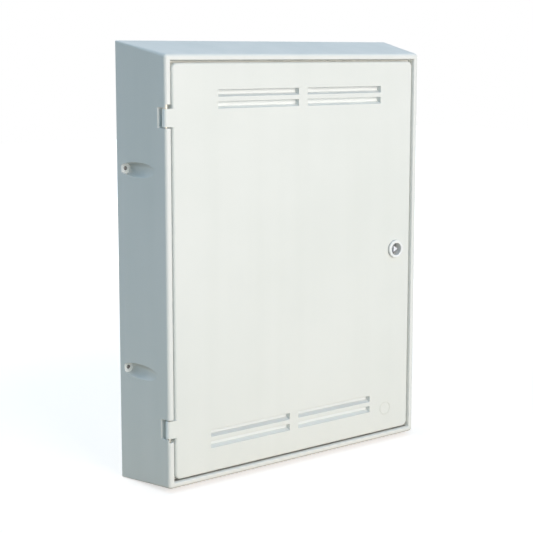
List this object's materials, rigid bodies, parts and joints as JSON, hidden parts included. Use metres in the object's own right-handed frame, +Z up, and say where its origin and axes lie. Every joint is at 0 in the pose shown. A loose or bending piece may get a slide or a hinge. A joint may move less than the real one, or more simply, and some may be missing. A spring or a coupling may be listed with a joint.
{
  "type": "electric meter box",
  "caption": "Shallow wall box with drafted sides, hinged flush door with louvres, triangular key lock and a board inside for an electricity meter.",
  "frame": {"origin": "middle of the four wall fixing holes, on the wall plane", "axes": "+X to the right seen from the front, +Y into the wall, +Z up"},
  "size_m": [0.488, 0.1035, 0.6195],
  "materials": {
    "cover_plastic": "satin moulded off-white",
    "door_plastic": "satin moulded off-white",
    "panel_plastic": "plain moulded off-white",
    "board_plywood": "bare plywood",
    "zinc_screw": "zinc plated",
    "pin_steel": "drawn stainless",
    "grommet_rubber": "matt black",
    "gasket_rubber": "matt grey",
    "lock_zinc": "white coated die casting",
    "spindle_zinc": "bright die casting",
    "lock_steel": "zinc plated steel"
  },
  "bodies": {
    "box": {"box_shell": "cover_plastic", "back_panel": "panel_plastic", "back_panel_screws": "zinc_screw", "meter_board": "board_plywood", "meter_board_screws": "zinc_screw", "upper_hinge_pin": "pin_steel", "lower_hinge_pin": "pin_steel", "service_cable_grommet": "grommet_rubber", "tails_grommet": "grommet_rubber"},
    "door": {"door_panel": "door_plastic", "lock_gasket": "gasket_rubber", "lock_barrel": "lock_zinc", "lock_washer": "lock_steel", "lock_nut": "lock_steel"},
    "lock": {"lock_spindle": "spindle_zinc", "lock_cam": "lock_steel", "cam_washer": "lock_steel", "cam_screw": "lock_steel"}
  },
  "joints": [
    {"name": "door_hinge", "type": "hinge", "parent": "box", "child": "door", "pos_m": [-0.2218, -0.0951, 0], "axis": [0, 0, -1], "range_deg": [0, 175]},
    {"name": "lock_turn", "type": "hinge", "parent": "door", "child": "lock", "pos_m": [0.1832, -0.09, 0], "axis": [0, -1, 0], "range_deg": [0, 90]}
  ]
}
